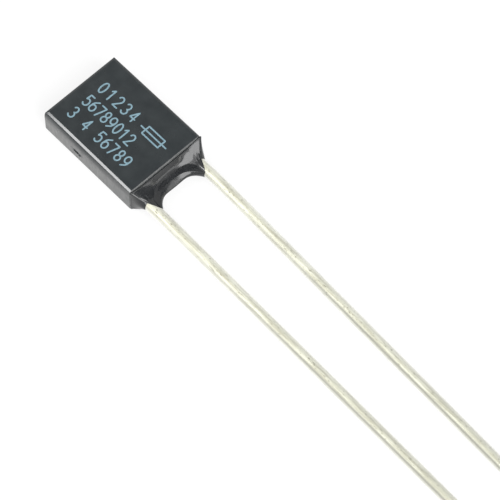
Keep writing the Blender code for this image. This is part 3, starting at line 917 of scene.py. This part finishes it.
for side_name, (side, drift) in WIRE_SIDE_AND_DRIFT.items():
    path = wire_path(side, drift)
    wire = run_tree(curve_from(f"wire_{side_name}", [path]), wire_tree, {
        "Radius": WIRE_RADIUS,
        "Ring Spacing": RING_SPACING,
        "Waver": WAVER,
        "Finish": tin.material,
    })
    wire.data.materials.append(copper.material)
    tube = bmesh.new()
    tube.from_mesh(wire.data)
    inner_ring, tip_ring = tube.verts[:WIRE_SIDES], tube.verts[-WIRE_SIDES:]
    close_end(tube, inner_ring, Vector((-1.0, 0.0, 0.0)))
    close_end(tube, tip_ring, (path[-1] - path[-2]).normalized())
    bmesh.ops.recalc_face_normals(tube, faces=tube.faces)
    tube.to_mesh(wire.data)
    tube.free()
    wire.data.shade_smooth()
    store(wire.data, "thin_flank", [dark_flank_share(point.normal) for point in wire.data.vertices])
    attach(wire, "root")
    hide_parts(f"lead_{side_name}")
    report(wire)

# %% [markdown]
# ## The print
#
# The top carries plain numbers and the drawing sign of a fuse, a box with a line through it, in pale ink. Pad
# print has strokes of one width with round ends, so each figure is drawn as a few strokes. A tree turns
# strokes into thin ridges of ink: an oval swept along each stroke, and a flattened ball on each end.

# %% Finish of the ink
ink = Finish("pale_blue_ink", (0.30, 0.48, 0.58), 0.55)
thin_ink = ink.between(ink.grain(0.00006, detail=3.0), 0.0, 1.0, 0.35, 0.62)
ink.drive("Base Color", ink.blend(thin_ink, (0.125, 0.21, 0.255), (0.21, 0.33, 0.39)))
ink.drive("Roughness", ink.between(ink.grain(0.0003), 0.45, 0.65))
ink.drive("Normal", ink.bump(ink.grain(0.00004), 0.0000015))


# %% The figures as strokes
def arc(centre_x, centre_y, radius_x, radius_y, from_deg, to_deg, steps):
    angles = [math.radians(turned) for turned in evenly(from_deg, to_deg, steps) + [to_deg]]
    return [(centre_x + radius_x * math.cos(a), centre_y + radius_y * math.sin(a)) for a in angles]


# Each figure is 1 high and 0.6 wide before it is printed.
FIGURES = {
    "0": [arc(0.30, 0.50, 0.28, 0.50, 90, 450, 36)],
    "1": [[(0.10, 0.78), (0.34, 1.00), (0.34, 0.00)]],
    "2": [arc(0.30, 0.72, 0.27, 0.28, 160, -40, 16) + [(0.02, 0.00), (0.60, 0.00)]],
    "3": [arc(0.27, 0.75, 0.26, 0.25, 150, -80, 16) + arc(0.27, 0.26, 0.30, 0.26, 80, -150, 18)],
    "4": [[(0.44, 0.00), (0.44, 1.00), (0.00, 0.30), (0.60, 0.30)]],
    "5": [[(0.54, 1.00), (0.10, 1.00), (0.06, 0.54)] + arc(0.28, 0.32, 0.30, 0.32, 120, -140, 20)],
    "6": [[(0.46, 1.0)] + arc(0.32, 0.32, 0.3, 0.56, 125, 180, 8) + arc(0.31, 0.3, 0.29, 0.3, 180, 520, 30)],
    "7": [[(0.02, 1.00), (0.58, 1.00), (0.20, 0.00)]],
    "8": [arc(0.30, 0.75, 0.23, 0.25, -90, 270, 28), arc(0.30, 0.25, 0.28, 0.25, 90, 450, 30)],
    "9": [[(0.14, 0.0)] + arc(0.28, 0.68, 0.30, 0.56, -55, 0, 8) + arc(0.29, 0.7, 0.29, 0.3, 0, 340, 30)],
}

PRINT_HEIGHT = 0.00105
PRINT_STROKE = 0.000138
PRINT_THICKNESS = 0.000010
PRINT_WIDTH = 0.00084
ROWS = [
    ("01234", -0.00362, 0.00062, 0.00089),
    ("56789012", -0.00362, -0.00106, 0.00070),
    ("3 4 56789", -0.00362, -0.00262, 0.00077),
]
SIGN_CENTRE = (0.00262, 0.00098)
SIGN_HALF_LENGTH = 0.00092
SIGN_HALF_WIDTH = 0.00042
SIGN_LINE = 0.00142

strokes = []
for text, start_x, base_y, pitch in ROWS:
    for place, figure in enumerate(text):
        for stroke in FIGURES.get(figure, []):
            strokes.append([
                (start_x + place * pitch + x * PRINT_WIDTH, base_y + y * PRINT_HEIGHT, CASE_HEIGHT)
                for x, y in stroke
            ])
sign_x, sign_y = SIGN_CENTRE
box_corners = [(-1, -1), (1, -1), (1, 1), (-1, 1), (-1, -1)]
strokes.append([
    (sign_x + a * SIGN_HALF_LENGTH, sign_y + b * SIGN_HALF_WIDTH, CASE_HEIGHT) for a, b in box_corners
])
strokes.append([(sign_x + a * SIGN_LINE, sign_y, CASE_HEIGHT) for a in (-1, 1)])
print(len(strokes), "strokes")

# %% The tree that lays the ink
OVAL_SIDES = 12
BALL_SIDES = 16
INK_STEP = 0.00004

ink_tree, given = new_tree("ink_along_strokes", {
    "Stroke Width": "Float", "Ink Thickness": "Float", "Finish": "Material",
})
width, thickness = given["Stroke Width"], given["Ink Thickness"]
inputs = {"Curve": given["Geometry"], "Length": INK_STEP}
spaced = add_node(ink_tree, "GeometryNodeResampleCurve", "Curve", inputs, mode="LENGTH")
upright = add_node(ink_tree, "GeometryNodeSetCurveNormal", "Curve", {"Curve": spaced}, mode="Z_UP")
inputs = {"Resolution": OVAL_SIDES, "Radius": 0.5}
oval = add_node(ink_tree, "GeometryNodeCurvePrimitiveCircle", "Curve", inputs)
oval_size = add_node(ink_tree, "ShaderNodeCombineXYZ", "Vector", {"X": width, "Y": thickness})
oval = add_node(ink_tree, "GeometryNodeTransform", "Geometry", {"Geometry": oval, "Scale": oval_size})
inputs = {"Curve": upright, "Profile Curve": oval, "Fill Caps": True}
ridge = add_node(ink_tree, "GeometryNodeCurveToMesh", "Mesh", inputs)
inputs = {"Segments": BALL_SIDES, "Rings": BALL_SIDES // 2, "Radius": 0.5}
ball = add_node(ink_tree, "GeometryNodeMeshUVSphere", "Mesh", inputs)
ball_size = add_node(ink_tree, "ShaderNodeCombineXYZ", "Vector", {"X": width, "Y": width, "Z": thickness})
ends = add_node(ink_tree, "GeometryNodeCurveEndpointSelection", "Selection", {})
inputs = {"Points": spaced, "Selection": ends, "Instance": ball, "Scale": ball_size}
caps = add_node(ink_tree, "GeometryNodeInstanceOnPoints", "Instances", inputs)
both = add_node(ink_tree, "GeometryNodeJoinGeometry", "Geometry", {"Geometry": [ridge, caps]})
end_tree(ink_tree, given, both)

printed_numbers = run_tree(curve_from("printed_numbers", strokes), ink_tree, {
    "Stroke Width": PRINT_STROKE,
    "Ink Thickness": PRINT_THICKNESS,
    "Finish": ink.material,
})
printed_numbers.data.shade_smooth()
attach(printed_numbers, "root")
report(printed_numbers)

# %% [markdown]
# ## What is inside
#
# The fusible link and the flux are sealed in, but the part is also looked at piece by piece. Their solids
# keep their shape and get real finishes: a dull grey alloy with a coarse crystal grain, and amber rosin that
# lets a little light through.

# %% Finishes of the inner pieces
alloy = Finish("dull_alloy", (0.55, 0.55, 0.57), 0.38, metallic=1.0)
crystals = alloy.grain(0.00018, detail=4.0)
alloy.drive("Base Color", alloy.blend(crystals, (0.42, 0.42, 0.45), (0.68, 0.68, 0.69)))
alloy.drive("Roughness", alloy.between(crystals, 0.30, 0.50))
alloy.drive("Normal", alloy.bump(crystals, 0.00001))

rosin = Finish("amber_rosin", (0.62, 0.36, 0.10), 0.18, ior=1.54)
rosin.shader.inputs["Transmission Weight"].default_value = 0.35
haze = rosin.grain(0.0008, detail=3.0)
rosin.drive("Base Color", rosin.blend(haze, (0.50, 0.26, 0.06), (0.74, 0.46, 0.15)))
rosin.drive("Roughness", rosin.between(haze, 0.12, 0.30))
rosin.drive("Normal", rosin.bump(rosin.grain(0.0004), 0.00001))

for node_name, finish in (("fusible_link", alloy), ("flux", rosin)):
    for material_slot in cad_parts[node_name].material_slots:
        material_slot.material = finish.material
    print(node_name, "->", finish.material.name)

# %% [markdown]
# ## The table
#
# The part lies on a white light table, the kind that product photographers use: it is a pale plate that also
# glows, so the picture's ground is white while the part still leaves a soft shadow. The glow is only seen, by
# the camera and in reflections. It sends no light on to the part, so the part's colours stay as written. The
# plate lies a hair's breadth under the case, because two faces at the same height would flicker.


# %% The table
TABLE_HALF = 1.5
TABLE_GAP = 0.00001
GLOW_SHARE = 0.8


def seen_directly(tree):
    """1 for rays from the camera, from a reflection or through glass, and 0 for light that is scattered."""
    path_kind = tree.nodes.new("ShaderNodeLightPath")
    total = path_kind.outputs["Is Camera Ray"]
    for kind in ("Is Glossy Ray", "Is Transmission Ray"):
        inputs = {0: total, 1: path_kind.outputs[kind]}
        total = add_node(tree, "ShaderNodeMath", "Value", inputs, operation="ADD", use_clamp=True)
    return total


table_top = bmesh.new()
bmesh.ops.create_grid(table_top, x_segments=1, y_segments=1, size=TABLE_HALF)
bmesh.ops.translate(table_top, vec=(0.0, 0.0, -TABLE_GAP), verts=table_top.verts)
table_finish = Finish("white_table", (0.93, 0.93, 0.93), 0.85)
table_finish.drive("Roughness", table_finish.between(table_finish.grain(0.02), 0.80, 0.90))
tree = table_finish.tree
inputs = {0: seen_directly(tree), 1: GLOW_SHARE}
share = add_node(tree, "ShaderNodeMath", "Value", inputs, operation="MULTIPLY")
glow = add_node(tree, "ShaderNodeEmission", "Emission", {})
inputs = {"Fac": share, 1: table_finish.shader.outputs["BSDF"], 2: glow}
plate = add_node(tree, "ShaderNodeMixShader", "Shader", inputs)
tree.links.new(plate, tree.nodes["Material Output"].inputs["Surface"])
table = object_from("table", table_top, table_finish.material)

# %% [markdown]
# ## The light
#
# Glossy black shows only what is around it, so the light is arranged for its reflections. The world is a
# white tent. A small lamp stands on the left, and the rubbed upper edge of the case reflects it as a bright
# line. A tall soft lamp stands on the right and puts the sheen on the hollow of the resin, and a dimmer one
# beside it lets that sheen fade out. Two big grey cards take the places where a studio has its ceiling and
# its dark corner, and a pale card that glows hangs round the camera, so what faces the camera isn't black.
# Only reflections see the cards.

# %% The light
WORLD_LEVEL = 0.65
TENT_LEVEL = 1.0
PALE_CARD_GLOW = 1.6
LAMP_DISTANCE = 0.6
CARD_DISTANCE = 0.46


def lamp(name, direction, width, height, radiance):
    """An area lamp whose face has the given radiance, where 1 is white."""
    light = bpy.data.lights.new(name, "AREA")
    light.shape = "RECTANGLE"
    light.size = width
    light.size_y = height
    light.energy = radiance * math.pi * width * height
    obj = new_object(name, light)
    facing(obj, direction, LAMP_DISTANCE)
    obj.visible_camera = False


world = bpy.data.worlds.new("white_tent")
world.use_nodes = True
bpy.context.scene.world = world
tree = world.node_tree
inputs = {"Value": seen_directly(tree), "To Min": WORLD_LEVEL, "To Max": TENT_LEVEL}
background = tree.nodes["Background"]
background.inputs["Color"].default_value = (1.0, 1.0, 1.0, 1.0)
tree.links.new(add_node(tree, "ShaderNodeMapRange", "Result", inputs), background.inputs["Strength"])

lamp("left_lamp", direction_to(-117.0, 42.0), 0.13, 0.13, 15.0)
lamp("right_lamp", direction_to(-11.0, 35.0), 0.46, 0.56, 6.0)
lamp("right_fringe", direction_to(21.0, 11.0), 0.19, 0.30, 1.7)

grey_finish = Finish("grey_card", (0.36, 0.37, 0.38), 0.9)
pale_finish = Finish("pale_card", (0.90, 0.90, 0.90), 0.9)
for finish in (grey_finish, pale_finish):
    finish.drive("Roughness", finish.between(finish.grain(0.01), 0.8, 0.95))
pale_finish.shader.inputs["Emission Color"].default_value = (1.0, 1.0, 1.0, 1.0)
pale_finish.shader.inputs["Emission Strength"].default_value = PALE_CARD_GLOW
for name, direction, radius, finish in (
    ("upper_card", direction_to(38.0, 79.0), 0.17, grey_finish),
    ("side_card", direction_to(60.0, 20.0), 0.24, grey_finish),
    ("pale_card", direction_to(-55.0, 60.0), 0.14, pale_finish),
):
    disc = bmesh.new()
    bmesh.ops.create_circle(disc, cap_ends=True, segments=48, radius=radius)
    card = object_from(name, disc, finish.material)
    facing(card, direction, CARD_DISTANCE)
    for visibility in ("visible_camera", "visible_diffuse", "visible_shadow", "visible_transmission"):
        setattr(card, visibility, False)
bpy.context.scene.view_settings.view_transform = "Standard"
print("world", WORLD_LEVEL, "with three lamps and three cards")
